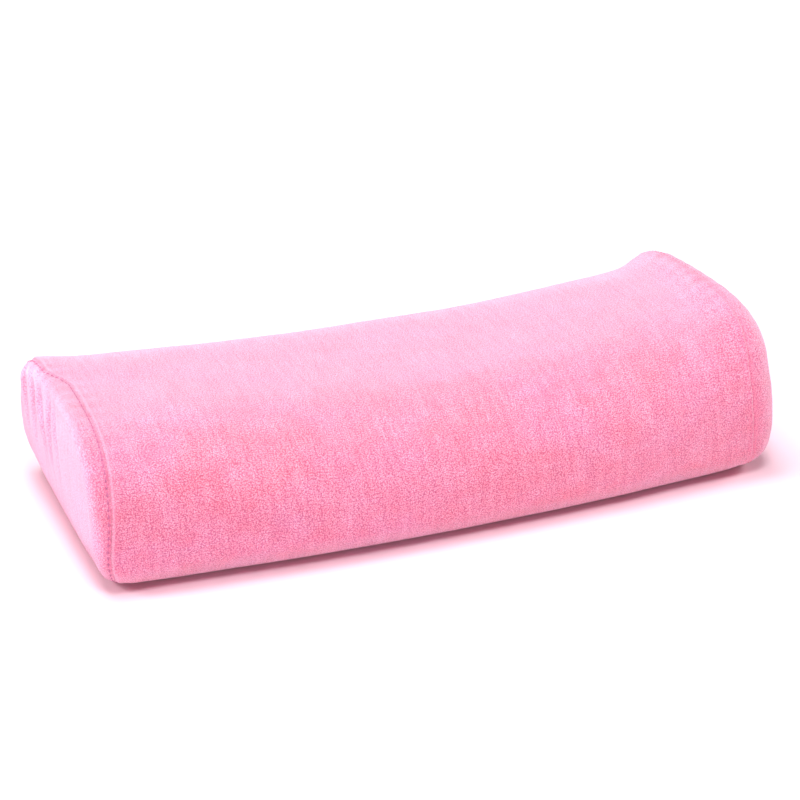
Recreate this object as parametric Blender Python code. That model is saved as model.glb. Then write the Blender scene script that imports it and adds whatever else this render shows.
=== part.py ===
"""A soft hand rest for manicures: a half-column foam cushion in a sewn towelling cover.

The cover is one long sheet wrapped round the foam, two end panels, and a zip under the base.
Lengths are in metres. X runs along the cushion, -Y is its front and +Z is up.
The origin is the middle of the flat base.
"""

import functools
import math

import bmesh
import bpy
import numpy as np

# Outer size of the cushion
LENGTH = 0.300
END_WIDTH = 0.130
SIDE_BULGE = 0.0068
END_HEIGHT = 0.0648
CROWN_SAG = 0.0101

# How far the crown rises at each end's rim, and the length over which that fades; -1 is the left end
RIM_RISES = {-1: (-0.0016, 0.034), 1: (0.0043, 0.008)}

# Cross-section
BASE_ROUND_WIDTH = 0.015
BASE_ROUND_HEIGHT = 0.012
WALL_TOP = 0.018
CROWN_SIDE_POWER = 3.7
CROWN_TOP_POWER = 2.1

# Rounded ends; each end has its own radius at the base and at the top
END_ROUNDS = {-1: (0.0105, 0.0050), 1: (0.0115, 0.0130)}
END_TUCK = 0.010
END_TUCK_HEIGHT = 0.022
END_PUFF = 0.0015
END_CENTRE_HEIGHT = 0.030

# Seams of the end panels: height and distance from the end face; the left one nears the face at the rear
SEAM_HEIGHTS = (0.0, 0.004, 0.011, 0.018, 0.030, 0.048, 0.063)
SEAM_INSETS = {
    -1: (0.0055, 0.0036, 0.0045, 0.0055, 0.0071, 0.0091, 0.0104),
    1: (0.0055, 0.0104, 0.0130, 0.0141, 0.0143, 0.0143, 0.0122),
}
LEFT_REAR_INSET = 0.0036
LEFT_REAR_START = 0.0028
LEFT_REAR_END = 0.0221

# Cloth and clearances
CLOTH = 0.0024
FIT_GAP = 0.0003

# Hems and zip tapes under the base
ZIP_SLIT = 0.011
HEM_WIDTH = 0.010
TAPE_WIDTH = 0.014
TAPE_THICKNESS = 0.0006

# Zip chain and stops
CHAIN_GAP = 0.0014
CHAIN_MARGIN = 0.006
COIL_WIDTH = 0.0020
COIL_HEIGHT = 0.0014
COIL_ROUND = 0.0005
STOP_LENGTH = 0.0022

# Slider and pull
SLIDER_LENGTH = 0.010
SLIDER_PLATE = 0.0009
SLIDER_NOSE_FLANGE = 0.0013
SLIDER_TAIL_FLANGE = 0.0006
WEDGE_WIDTH = 0.0008
WEDGE_LENGTH = 0.0030
BRIDGE_LENGTH = 0.0056
BRIDGE_WIDTH = 0.0018
BRIDGE_THICKNESS = 0.0007
BRIDGE_POST = 0.0008
PULL_LENGTH = 0.022
PULL_WIDTH = 0.0052
PULL_TIP_WIDTH = 0.0064
PULL_THICKNESS = 0.0009
PULL_BAR = 0.0009
PULL_SIDE_CLEARANCE = 0.00035
METAL_EDGE = 0.00015
FLOOR_CLEARANCE = 0.0003

# Steps of the surface grid
BASE_STEPS = 3
ROUND_STEPS = 4
CROWN_STEPS = 12
MIDDLE_STEPS = 3
BODY_STEPS = 16
END_STEPS = 4
CAP_RINGS = (0.08, 0.22, 0.45, 0.72)
HEM_ARC_STEPS = 5
TIP_STEPS = 8
CURVE_SAMPLES = 400

# Heights of the zip's layers, counted up from the surface that the cushion stands on
BRIDGE_LOW = FLOOR_CLEARANCE
BRIDGE_INNER = BRIDGE_LOW + BRIDGE_THICKNESS
PIVOT_HEIGHT = BRIDGE_INNER + FIT_GAP + PULL_THICKNESS / 2
PLATE_LOW = PIVOT_HEIGHT + PULL_THICKNESS / 2 + FIT_GAP
PLATE_TOP = PLATE_LOW + SLIDER_PLATE
COIL_LOW = PLATE_TOP + FIT_GAP
HEM_HEIGHT = max(COIL_LOW + COIL_HEIGHT, 2 * CLOTH + FIT_GAP)
COIL_TOP = HEM_HEIGHT
TAPE_LOW = HEM_HEIGHT + FIT_GAP
TAPE_TOP = TAPE_LOW + TAPE_THICKNESS
UPPER_PLATE_LOW = TAPE_TOP + FIT_GAP
UPPER_PLATE_TOP = UPPER_PLATE_LOW + SLIDER_PLATE
CHANNEL_TOP = UPPER_PLATE_TOP + FIT_GAP

# Widths across the zip, counted from the centre line
FOLD_RADIUS = HEM_HEIGHT / 2
FOLD_CENTRE = ZIP_SLIT / 2 + FOLD_RADIUS
HEM_EDGE = FOLD_CENTRE + HEM_WIDTH
CHANNEL_HALF = max(HEM_EDGE, CHAIN_GAP / 2 + TAPE_WIDTH) + FIT_GAP
COIL_OUTER = CHAIN_GAP / 2 + COIL_WIDTH

# Places along the zip
FACE_RIM = LENGTH / 2 - END_PUFF
BASE_SEAM = FACE_RIM - END_TUCK - max(SEAM_INSETS[-1][0], SEAM_INSETS[1][0])
TAPE_END = BASE_SEAM - FIT_GAP
CLOSED_END = CHAIN_MARGIN - TAPE_END
SLIDER_REST = CLOSED_END + SLIDER_LENGTH / 2
SLIDER_LIMIT = BASE_SEAM - PULL_LENGTH - 2 * FIT_GAP
OPEN_END = SLIDER_LIMIT + SLIDER_LENGTH / 2


def clear_scene():
    for item in list(bpy.data.objects):
        bpy.data.objects.remove(item, do_unlink=True)


def make_material(name, colour, roughness, metallic=0.0):
    material = bpy.data.materials.new(name)
    material.use_nodes = True
    shader = material.node_tree.nodes["Principled BSDF"]
    shader.inputs["Base Color"].default_value = (*colour, 1.0)
    shader.inputs["Roughness"].default_value = roughness
    shader.inputs["Metallic"].default_value = metallic
    return material


def half_width(s):
    """Half the width at s, which is -1 and 1 where the ends begin to round off."""
    return END_WIDTH / 2 + SIDE_BULGE * (1 - s * s)


def crown_height(s):
    """Height of the crown line at s: a shallow saddle with a raised rim at each end."""
    rise, rise_length = RIM_RISES[1 if s > 0 else -1]
    from_end = LENGTH / 2 * (1 - abs(s))
    return END_HEIGHT - CROWN_SAG * (1 - s * s) + rise * math.exp(-((from_end / rise_length) ** 2))


def quarter_round(height, round_height):
    """1 at the base, falling to 0 at round_height along a quarter ellipse."""
    below = np.clip(1 - height / round_height, 0, 1)
    return 1 - np.sqrt(1 - below * below)


def crown_curve(half, top):
    """Points and inward directions from the wall's top to the crown line, evenly spaced."""
    angle = np.linspace(0, math.pi / 2, CURVE_SAMPLES)
    y = half * np.cos(angle).clip(0) ** (2 / CROWN_SIDE_POWER)
    z = WALL_TOP + (top - WALL_TOP) * np.sin(angle) ** (2 / CROWN_TOP_POWER)
    run = np.concatenate([[0], np.cumsum(np.hypot(np.diff(y), np.diff(z)))])
    even = np.linspace(0, run[-1], CROWN_STEPS + 1)[1:]
    step = run[-1] / CURVE_SAMPLES
    ahead = np.minimum(even + step, run[-1])
    behind = even - step
    dy = np.interp(ahead, run, y) - np.interp(behind, run, y)
    dz = np.interp(ahead, run, z) - np.interp(behind, run, z)
    dy[-1], dz[-1] = -1, 0
    size = np.hypot(dy, dz)
    return np.interp(even, run, y), np.interp(even, run, z), -dz / size, dy / size


@functools.lru_cache(maxsize=None)
def half_section(s):
    """The rear half of the cross-section at s, from the edge of the zip slit up to the crown line.

    Each row is y, z and the direction in which the end rounding draws that point in.
    """
    half = half_width(s)
    corner = half - BASE_ROUND_WIDTH
    rows = []
    for step in range(BASE_STEPS):
        part = step / BASE_STEPS
        rows.append((FOLD_CENTRE + (corner - FOLD_CENTRE) * part, 0.0, -part, 0.0))
    for step in range(ROUND_STEPS + 1):
        turn = math.pi / 2 * step / ROUND_STEPS
        y = corner + BASE_ROUND_WIDTH * math.sin(turn)
        z = BASE_ROUND_HEIGHT * (1 - math.cos(turn))
        rows.append((y, z, -1.0, 0.0))
    rows.append((half, WALL_TOP, -1.0, 0.0))
    y, z, in_y, in_z = crown_curve(half, crown_height(s))
    rows.extend(zip(y, z, in_y, in_z))
    return np.array(rows)


@functools.lru_cache(maxsize=None)
def section(s):
    """The whole cross-section: front slit edge, front, crown, rear, rear slit edge, zip strip."""
    rear = half_section(s)
    front = rear * np.array([-1, 1, -1, 1])
    strip = np.linspace(FOLD_CENTRE, -FOLD_CENTRE, MIDDLE_STEPS + 1)[1:-1]
    middle = np.array([(y, 0.0, 0.0, 0.0) for y in strip])
    return np.vstack([front, rear[-2::-1], middle])


COLUMNS = len(section(0.0))
COVER_COLUMNS = COLUMNS - (MIDDLE_STEPS - 1)


def end_shape(side):
    """For each column: the end's rounding radius, how far it is tucked under, and its seam inset."""
    y, height = section(float(side))[:, :2].T
    share = height / height.max()
    at_base, at_top = END_ROUNDS[side]
    radius = at_base + (at_top - at_base) * share**2
    tuck = END_TUCK * quarter_round(height, END_TUCK_HEIGHT)
    seam = np.interp(height, SEAM_HEIGHTS, SEAM_INSETS[side])
    if side < 0:
        behind = np.clip((y - LEFT_REAR_START) / (LEFT_REAR_END - LEFT_REAR_START), 0, 1)
        behind = behind * behind * (3 - 2 * behind)
        seam += (np.minimum(seam, LEFT_REAR_INSET) - seam) * behind
    return radius, tuck, seam


def skin_row(side, x):
    """One ring of surface points whose distance from the middle is x, given for each column."""
    radius, tuck, _ = end_shape(side)
    straight = FACE_RIM - radius - tuck
    points = []
    for column in range(COLUMNS):
        s = min(x[column] / straight[column], 1.0)
        past = max(x[column] - straight[column], 0.0)
        fold = math.asin(min(past / radius[column], 1.0))
        y, z, in_y, in_z = section(side * s)[column]
        drawn_in = radius[column] * (1 - math.cos(fold))
        points.append((side * x[column], y + in_y * drawn_in, z + in_z * drawn_in))
    return points


def cap_rings(side, rim):
    """Rings from the rim of an end face towards its puffed-out centre."""
    rings = []
    for inward in CAP_RINGS:
        ring = []
        for _, y, z in rim:
            high = z + (END_CENTRE_HEIGHT - z) * inward
            tuck = END_TUCK * quarter_round(high, END_TUCK_HEIGHT)
            puff = END_PUFF * (1 - (1 - inward) ** 2)
            ring.append((side * (FACE_RIM - tuck + puff), y * (1 - inward), high))
        rings.append(ring)
    return rings


def end_rows(side):
    """Rings from an end panel's seam round to its face, then the rings of the face."""
    radius, tuck, seam = end_shape(side)
    straight = FACE_RIM - radius - tuck
    start = FACE_RIM - tuck - seam
    start_fold = np.arcsin(np.clip((start - straight) / radius, 0, 1))
    on_base = section(float(side))[:, 1] == 0
    rows = [skin_row(side, start)]
    for step in range(1, END_STEPS + 1):
        part = step / END_STEPS
        fold = start_fold + (math.pi / 2 - start_fold) * part
        x = np.where(on_base, start + seam * part, straight + radius * np.sin(fold))
        rows.append(skin_row(side, x))
    return rows + cap_rings(side, rows[-1])


def body_rows():
    """Rings between the two seams, closer together towards the ends."""
    rows = []
    for step in range(1, BODY_STEPS):
        share = math.sin(math.pi / 2 * (2 * step / BODY_STEPS - 1))
        side = 1 if share > 0 else -1
        _, tuck, seam = end_shape(side)
        rows.append(skin_row(side, abs(share) * (FACE_RIM - tuck - seam)))
    return rows


def make_skin():
    """The closed outer surface as rings of points, its two end centres, and the normals of both."""
    left = end_rows(-1)[::-1]
    right = end_rows(1)
    rings = left + body_rows() + right
    mesh = bmesh.new()
    table = [[mesh.verts.new(point) for point in ring] for ring in rings]
    centres = [mesh.verts.new((side * LENGTH / 2, 0, END_CENTRE_HEIGHT)) for side in (-1, 1)]
    join_rings(mesh, table, closed=True)
    join_tip(mesh, centres[0], table[0])
    join_tip(mesh, centres[1], table[-1])
    bmesh.ops.recalc_face_normals(mesh, faces=mesh.faces)
    mesh.normal_update()
    points = np.array([[v.co for v in ring] for ring in table])
    normals = np.array([[v.normal for v in ring] for ring in table])
    tips = np.array([v.co for v in centres])
    tip_normals = np.array([v.normal for v in centres])
    mesh.free()
    return points, normals, tips, tip_normals


def finish_object(name, mesh, material, parent, smooth=True):
    """Turn a bmesh into a named object with faces pointing out."""
    bmesh.ops.recalc_face_normals(mesh, faces=mesh.faces)
    data = bpy.data.meshes.new(name)
    mesh.to_mesh(data)
    mesh.free()
    data.materials.append(material)
    if smooth:
        data.shade_smooth()
        data.set_sharp_from_angle(angle=math.radians(40))
    item = bpy.data.objects.new(name, data)
    bpy.context.collection.objects.link(item)
    item.parent = parent
    return item


def join_rings(mesh, rings, closed):
    """Bridge neighbouring rows of vertices; every square is split along the same diagonal."""
    for lower, upper in zip(rings, rings[1:]):
        last = len(lower) if closed else len(lower) - 1
        for column in range(last):
            after = (column + 1) % len(lower)
            mesh.faces.new((lower[column], lower[after], upper[after]))
            mesh.faces.new((lower[column], upper[after], upper[column]))


def join_tip(mesh, tip, ring):
    """Close a ring with triangles that meet at one point."""
    for column in range(len(ring)):
        mesh.faces.new((tip, ring[column], ring[(column + 1) % len(ring)]))


def hem_path(side, depth):
    """The folded hem beside the slit, from its free edge to where it meets the flat base."""
    radius = FOLD_RADIUS - depth
    path = [(HEM_EDGE, HEM_HEIGHT - depth)]
    for step in range(HEM_ARC_STEPS):
        turn = math.pi * step / HEM_ARC_STEPS
        path.append((FOLD_CENTRE - radius * math.sin(turn), FOLD_RADIUS + radius * math.cos(turn)))
    return [(side * y, z) for y, z in path]


def cover_layer(rings, depth):
    """One face of the wrapped sheet, with a hem added along both edges of the slit."""
    rows = []
    for ring in rings:
        cloth = [tuple(point) for point in ring[:COVER_COLUMNS]]
        front = [(cloth[0][0], y, z) for y, z in hem_path(-1, depth)]
        rear = [(cloth[-1][0], y, z) for y, z in hem_path(1, depth)]
        rows.append(front + cloth + rear[::-1])
    return rows


def shifted(rings, index, distance):
    """Move one ring along the cushion, which opens the gap at a seam."""
    moved = rings.copy()
    moved[index, :, 0] += distance
    return moved


def make_cover(skin, material, parent):
    """The towelling sheet from hem to hem, round the front, the crown and the rear."""
    points, normals, _, _ = skin
    first = END_STEPS + len(CAP_RINGS)
    last = len(points) - first
    mesh = bmesh.new()
    layers = []
    for depth in (0.0, CLOTH):
        rings = (points - normals * depth)[first:last]
        rings = shifted(rings, 0, FIT_GAP / 2)
        rings = shifted(rings, -1, -FIT_GAP / 2)
        layers.append([[mesh.verts.new(point) for point in row] for row in cover_layer(rings, depth)])
    outer, inner = layers
    join_rings(mesh, outer, closed=False)
    join_rings(mesh, inner, closed=False)
    for edge in (0, -1):
        join_rings(mesh, [outer[edge], inner[edge]], closed=False)
        join_rings(mesh, [[row[edge] for row in outer], [row[edge] for row in inner]], closed=False)
    return finish_object("cover_wrap", mesh, material, parent)


def make_end_panel(name, side, skin, material, parent):
    """A panel drawn over the foam's end and round its edge as far as the seam."""
    points, normals, tips, tip_normals = skin
    count = END_STEPS + len(CAP_RINGS) + 1
    part = slice(0, count) if side < 0 else slice(len(points) - count, len(points))
    seam, face, tip = (-1, 0, 0) if side < 0 else (0, -1, 1)
    mesh = bmesh.new()
    layers = []
    for depth in (0.0, CLOTH):
        rings = shifted((points - normals * depth)[part], seam, side * FIT_GAP / 2)
        layer = [[mesh.verts.new(point) for point in row] for row in rings]
        join_rings(mesh, layer, closed=True)
        join_tip(mesh, mesh.verts.new(tips[tip] - tip_normals[tip] * depth), layer[face])
        layers.append(layer)
    join_rings(mesh, [layers[0][seam], layers[1][seam]], closed=True)
    return finish_object(name, mesh, material, parent)


def make_foam(skin, material, parent):
    """The foam block that fills the cover, with the channel that the zip presses into it."""
    points, normals, tips, tip_normals = skin
    depth = CLOTH + FIT_GAP
    mesh = bmesh.new()
    rings = [[mesh.verts.new(point) for point in row] for row in points - normals * depth]
    ends = [mesh.verts.new(point) for point in tips - tip_normals * depth]
    join_rings(mesh, rings, closed=True)
    join_tip(mesh, ends[0], rings[0])
    join_tip(mesh, ends[1], rings[-1])
    foam = finish_object("foam_core", mesh, material, parent)
    low = (-LENGTH, -CHANNEL_HALF, -CLOTH)
    high = (LENGTH, CHANNEL_HALF, CHANNEL_TOP)
    channel = make_box("zip_channel_cutter", low, high, material, parent)
    combine(foam, channel, "DIFFERENCE")
    return foam


def make_box(name, low, high, material, parent, long_edge_round=0.0):
    """A box between two corners; long_edge_round rounds its two lower edges along X."""
    mesh = bmesh.new()
    bmesh.ops.create_cube(mesh, size=1.0)
    for vertex in mesh.verts:
        vertex.co = [low[i] + (vertex.co[i] + 0.5) * (high[i] - low[i]) for i in range(3)]
    if long_edge_round:
        lower = [e for e in mesh.edges if all(v.co.z < high[2] - long_edge_round for v in e.verts)]
        along = [e for e in lower if abs(e.verts[0].co.x - e.verts[1].co.x) > long_edge_round]
        bmesh.ops.bevel(mesh, geom=along, offset=long_edge_round, segments=3, profile=0.5, affect="EDGES")
    return finish_object(name, mesh, material, parent)


def make_prism(name, outline, low, high, axis, material, parent):
    """An outline pushed from low to high along Y or Z; it is drawn in the other two directions."""
    mesh = bmesh.new()
    layers = []
    for level in (low, high):
        if axis == "Z":
            layers.append([mesh.verts.new((a, b, level)) for a, b in outline])
        else:
            layers.append([mesh.verts.new((a, level, b)) for a, b in outline])
    for layer in layers:
        mesh.faces.new(layer)
    join_rings(mesh, layers, closed=True)
    return finish_object(name, mesh, material, parent)


def combine(target, tool, operation):
    """Join a hidden tool to the target, or cut it away."""
    modifier = target.modifiers.new(tool.name, "BOOLEAN")
    modifier.operation = operation
    modifier.solver = "EXACT"
    modifier.object = tool
    tool.hide_render = True
    tool.display_type = "WIRE"


def round_metal_edges(item):
    modifier = item.modifiers.new("edges", "BEVEL")
    modifier.width = METAL_EDGE
    modifier.segments = 2
    modifier.limit_method = "ANGLE"
    modifier.angle_limit = math.radians(50)


def make_tapes(material, parent):
    """Two woven tapes sewn on top of the hems."""
    for name, side in (("zip_tape_front", -1), ("zip_tape_rear", 1)):
        near = side * CHAIN_GAP / 2
        far = near + side * TAPE_WIDTH
        low = (-TAPE_END, min(near, far), TAPE_LOW)
        high = (TAPE_END, max(near, far), TAPE_TOP)
        make_box(name, low, high, material, parent)


def make_coils(material, parent):
    """The two halves of the zip chain, as bars of the coils' outer shape."""
    for name, side in (("zip_coil_front", -1), ("zip_coil_rear", 1)):
        near = side * CHAIN_GAP / 2
        far = side * COIL_OUTER
        low = (CLOSED_END, min(near, far), COIL_LOW)
        high = (OPEN_END, max(near, far), COIL_TOP)
        make_box(name, low, high, material, parent, COIL_ROUND)


def make_stops(material, parent):
    """A stop on each tape at the closed end, and one across both tapes at the open end."""
    start = CLOSED_END - FIT_GAP
    for name, side in (("zip_top_stop_front", -1), ("zip_top_stop_rear", 1)):
        near = side * CHAIN_GAP / 2
        far = side * COIL_OUTER
        low = (start - STOP_LENGTH, min(near, far), COIL_LOW)
        high = (start, max(near, far), COIL_TOP)
        make_box(name, low, high, material, parent, COIL_ROUND)
    low = (OPEN_END + FIT_GAP, -COIL_OUTER, COIL_LOW)
    high = (OPEN_END + FIT_GAP + STOP_LENGTH, COIL_OUTER, COIL_TOP)
    make_box("zip_bottom_stop", low, high, material, parent, COIL_ROUND)


def slider_outline(inner_half):
    """The slider seen from below: wide at the nose, which leads as the zip closes, narrow at the tail."""
    nose = inner_half + SLIDER_NOSE_FLANGE
    tail = inner_half + SLIDER_TAIL_FLANGE
    half = SLIDER_LENGTH / 2
    return [(-half, -nose), (0, -nose), (half, -tail), (half, tail), (0, nose), (-half, nose)]


def make_bridge(material, parent):
    """The loop under the slider's plate that the pull hangs in."""
    half = BRIDGE_LENGTH / 2
    inner = half - BRIDGE_POST
    low = BRIDGE_LOW - PIVOT_HEIGHT
    bend = BRIDGE_INNER - PIVOT_HEIGHT
    foot = PLATE_LOW + SLIDER_PLATE / 2 - PIVOT_HEIGHT
    outline = [
        (-half, foot),
        (-half, bend),
        (-inner, low),
        (inner, low),
        (half, bend),
        (half, foot),
        (inner, foot),
        (inner, bend),
        (-inner, bend),
        (-inner, foot),
    ]
    side = BRIDGE_WIDTH / 2
    return make_prism("slider_bridge_tool", outline, -side, side, "Y", material, parent)


def make_slider(material, parent):
    """Two plates held apart by a wedge, with flanges that keep the coils in and a bridge below."""
    inner_half = COIL_OUTER + FIT_GAP
    outline = slider_outline(inner_half)
    low, high = PLATE_LOW - PIVOT_HEIGHT, COIL_TOP - PIVOT_HEIGHT
    slider = make_prism("zip_slider", outline, low, high, "Z", material, parent)
    slider.location = (SLIDER_REST, 0, PIVOT_HEIGHT)
    low = (-SLIDER_LENGTH, -inner_half, PLATE_TOP - PIVOT_HEIGHT)
    high = (SLIDER_LENGTH, inner_half, UPPER_PLATE_LOW - PIVOT_HEIGHT)
    combine(slider, make_box("slider_channel_cutter", low, high, material, slider), "DIFFERENCE")
    base = UPPER_PLATE_LOW - PIVOT_HEIGHT
    upper = make_prism("slider_plate_tool", outline, base, base + SLIDER_PLATE, "Z", material, slider)
    nose = -SLIDER_LENGTH / 2
    half_plate = SLIDER_PLATE / 2
    low = (nose + half_plate, -WEDGE_WIDTH / 2, PLATE_TOP - half_plate - PIVOT_HEIGHT)
    high = (nose + half_plate + WEDGE_LENGTH, WEDGE_WIDTH / 2, base + half_plate)
    wedge = make_box("slider_wedge_tool", low, high, material, slider)
    combine(slider, wedge, "UNION")
    combine(slider, upper, "UNION")
    combine(slider, make_bridge(material, slider), "UNION")
    return slider


def pull_outline():
    """The pull seen from below, from its bar on the pivot to its rounded tip."""
    start = -PULL_BAR / 2
    half = PULL_WIDTH / 2
    tip = PULL_TIP_WIDTH / 2
    outline = [(start, -half), (PULL_LENGTH - tip, -tip)]
    for step in range(1, TIP_STEPS):
        turn = math.pi * step / TIP_STEPS
        outline.append((PULL_LENGTH - tip + tip * math.sin(turn), -tip * math.cos(turn)))
    outline += [(PULL_LENGTH - tip, tip), (start, half)]
    return outline


def make_pull(material, slider):
    """A flat pull whose eye hangs on the slider's bridge; its origin is on the pivot."""
    half = PULL_THICKNESS / 2
    pull = make_prism("zip_pull", pull_outline(), -half, half, "Z", material, slider)
    reach = math.hypot(BRIDGE_LENGTH / 2, PIVOT_HEIGHT - BRIDGE_LOW) + PULL_SIDE_CLEARANCE
    half = BRIDGE_WIDTH / 2 + PULL_SIDE_CLEARANCE
    low = (PULL_BAR / 2, -half, -PULL_THICKNESS)
    high = (reach, half, PULL_THICKNESS)
    combine(pull, make_box("pull_eye_cutter", low, high, material, pull), "DIFFERENCE")
    round_metal_edges(pull)
    return pull


def main():
    clear_scene()
    root = bpy.data.objects.new("hand_rest", None)
    bpy.context.collection.objects.link(root)
    towelling = make_material("towelling", (0.90, 0.38, 0.52), 0.95)
    foam = make_material("foam", (0.90, 0.86, 0.74), 0.9)
    tape = make_material("zip_tape", (0.86, 0.42, 0.55), 0.8)
    nylon = make_material("zip_nylon", (0.88, 0.46, 0.58), 0.45)
    metal = make_material("zip_metal", (0.85, 0.45, 0.55), 0.35, 0.6)
    skin = make_skin()
    make_foam(skin, foam, root)
    make_cover(skin, towelling, root)
    make_end_panel("end_panel_left", -1, skin, towelling, root)
    make_end_panel("end_panel_right", 1, skin, towelling, root)
    make_tapes(tape, root)
    make_coils(nylon, root)
    make_stops(metal, root)
    slider = make_slider(metal, root)
    make_pull(metal, slider)


main()
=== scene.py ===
"""The looks of a half-column manicure hand rest: a foam cushion in a fitted pink towelling cover.

The cover is one wrapped sheet and two end panels, sewn together and closed by a zip under the base.
Lengths are in metres. X runs along the cushion, -Y is its front and +Z is up.
"""

import itertools
import math

import bmesh
import bpy
import numpy as np
from mathutils import Matrix, Vector


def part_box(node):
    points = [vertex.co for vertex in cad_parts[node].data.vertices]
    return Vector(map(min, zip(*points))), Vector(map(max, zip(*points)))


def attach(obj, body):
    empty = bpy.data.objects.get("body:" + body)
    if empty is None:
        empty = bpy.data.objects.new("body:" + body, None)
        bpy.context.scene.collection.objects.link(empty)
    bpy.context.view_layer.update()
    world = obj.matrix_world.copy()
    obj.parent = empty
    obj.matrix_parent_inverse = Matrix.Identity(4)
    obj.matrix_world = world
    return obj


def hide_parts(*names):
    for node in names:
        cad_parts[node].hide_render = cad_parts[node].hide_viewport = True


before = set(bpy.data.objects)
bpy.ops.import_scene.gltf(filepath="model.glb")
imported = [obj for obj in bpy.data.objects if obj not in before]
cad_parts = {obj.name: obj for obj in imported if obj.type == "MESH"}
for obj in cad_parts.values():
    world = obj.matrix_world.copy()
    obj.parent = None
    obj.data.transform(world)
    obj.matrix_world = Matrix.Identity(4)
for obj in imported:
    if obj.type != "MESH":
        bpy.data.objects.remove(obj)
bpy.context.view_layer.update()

# Outer size of the cushion, as the frame has it
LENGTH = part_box("end_panel_right")[1][0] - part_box("end_panel_left")[0][0]
SIDE_BULGE = 0.0068
END_WIDTH = 2 * (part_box("cover_wrap")[1][1] - SIDE_BULGE)
END_HEIGHT = 0.0648
CROWN_SAG = 0.0101

# How far the crown rises at each end's rim, and the length over which that fades; -1 is the left end
RIM_RISES = {-1: (-0.0016, 0.034), 1: (0.0043, 0.008)}

# Cross-section
BASE_ROUND_WIDTH = 0.015
BASE_ROUND_HEIGHT = 0.012
WALL_TOP = 0.018
CROWN_SIDE_POWER = 3.7
CROWN_TOP_POWER = 2.1

# Rounded ends; each end has its own radius at the base and at the top
END_ROUNDS = {-1: (0.0105, 0.0050), 1: (0.0115, 0.0130)}
END_TUCK = 0.010
END_TUCK_HEIGHT = 0.022
END_PUFF = 0.0015
END_CENTRE_HEIGHT = 0.030
FACE_RIM = LENGTH / 2 - END_PUFF

# Seams of the end panels: height and distance from the end face; the left one nears the face at the rear
SEAM_HEIGHTS = (0.0, 0.004, 0.011, 0.018, 0.030, 0.048, 0.063)
SEAM_INSETS = {
    -1: (0.0055, 0.0036, 0.0045, 0.0055, 0.0071, 0.0091, 0.0104),
    1: (0.0055, 0.0104, 0.0130, 0.0141, 0.0143, 0.0143, 0.0122),
}
LEFT_REAR_INSET = 0.0036
LEFT_REAR_START = 0.0028
LEFT_REAR_END = 0.0221

# Cloth, hems and the zip slit
CLOTH = 0.0024
FIT_GAP = 0.0003
HEM_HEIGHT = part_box("zip_tape_rear")[0][2] - FIT_GAP
FOLD_RADIUS = HEM_HEIGHT / 2
FOLD_CENTRE = 0.0055 + FOLD_RADIUS
HEM_WIDTH = 0.010

# Steps of the surface grid; each span is a whole number of coarse steps
COARSE = 6
BASE_STEPS = 17
ROUND_STEPS = 20
WALL_STEPS = 6
CROWN_STEPS = 99
MIDDLE_STEPS = 4
HEM_FLAT_STEPS = 6
HEM_ARC_STEPS = 8
BODY_STEPS = 276
BAND_STEPS = 24
CAP_STEPS = 42
BAND_CROWDING = 1.15
BODY_CROWDING = 0.035
SECTION_SAMPLES = 161
CURVE_SAMPLES = 600

# The coarse points of a fine grid
THIN = (slice(None, None, COARSE), slice(None, None, COARSE))

# Relief of the cloth; three numbers in brackets are a noise's size across, its strength and its seed
LUMPS = ((0.048, 0.00040, 11), (0.024, 0.00024, 12), (0.011, 0.00010, 13))
PILE = ((0.0042, 0.00005, 14), (0.0024, 0.00004, 15))
SEAM_GAP = 0.00005
VALLEY_DEPTHS = {-1: 0.0006, 1: 0.0005}
VALLEY_WIDTH = 0.0042
GROOVE_DEPTH = 0.00025
GROOVE_WIDTH = 0.0006
RIDGE_HEIGHT = 0.00055
RIDGE_WIDTH = 0.0008
RIDGE_PLACE = -0.0009
PUCKER_DEPTH = 0.00022
PUCKER_PITCH = 0.0085
PUCKER_REACH = 0.0075
PUCKER_WANDER = (0.030, 2.2, 21)
PUCKER_CHANGE = (0.020, 0.4, 22)
RELIEF_CLEAR_HEIGHT = 0.004
CORNER_LIFTS = {-1: 0.0008, 1: 0.0020}
LIFT_START = 0.118
LIFT_CLEAR_OF_ZIP = 0.022
LIFT_POWER = 1.5
NOISE_TABLE = 8192
NOISE_PRIMES = np.array([73856093, 19349663, 83492791])

# Loose folds in the end faces: side, y at the top, lean in y for each metre down, depth, width
FOLDS = (
    (-1, -0.004, -0.30, 0.0007, 0.0020),
    (-1, 0.007, -0.32, 0.0011, 0.0022),
    (-1, 0.018, -0.30, 0.0012, 0.0022),
    (-1, 0.030, -0.26, 0.0011, 0.0024),
    (-1, 0.043, -0.22, 0.0013, 0.0022),
    (1, 0.030, 0.10, 0.0007, 0.0024),
    (1, 0.012, 0.04, 0.0009, 0.0024),
    (1, -0.024, -0.10, 0.0007, 0.0024),
)
# Fuller corners: side, height, then the spans of side times x, of y and of z over which each grows
PUFFS = (
    (-1, 0.0015, (0.070, 0.146), (0.005, 0.048), (0.008, 0.030)),
    (1, 0.0012, (0.080, 0.142), (0.024, -0.008), (0.042, 0.058)),
)
FOLD_START = 0.062
FOLD_TOP = 0.057
FOLD_BOTTOM = 0.036
FOLD_FADE = 0.014
FOLD_TOP_FADE = 0.006
FOLD_RIM_START = 0.0045
FOLD_RIM_FULL = 0.0008
FOLD_SWAY = 0.0012
FOLD_SWAY_LENGTH = 0.006
FOLD_SWAY_TURN = 300
BANK_SHARE = 0.55
BANK_PLACE = 1.9
BANK_WIDTH = 1.3

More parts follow.
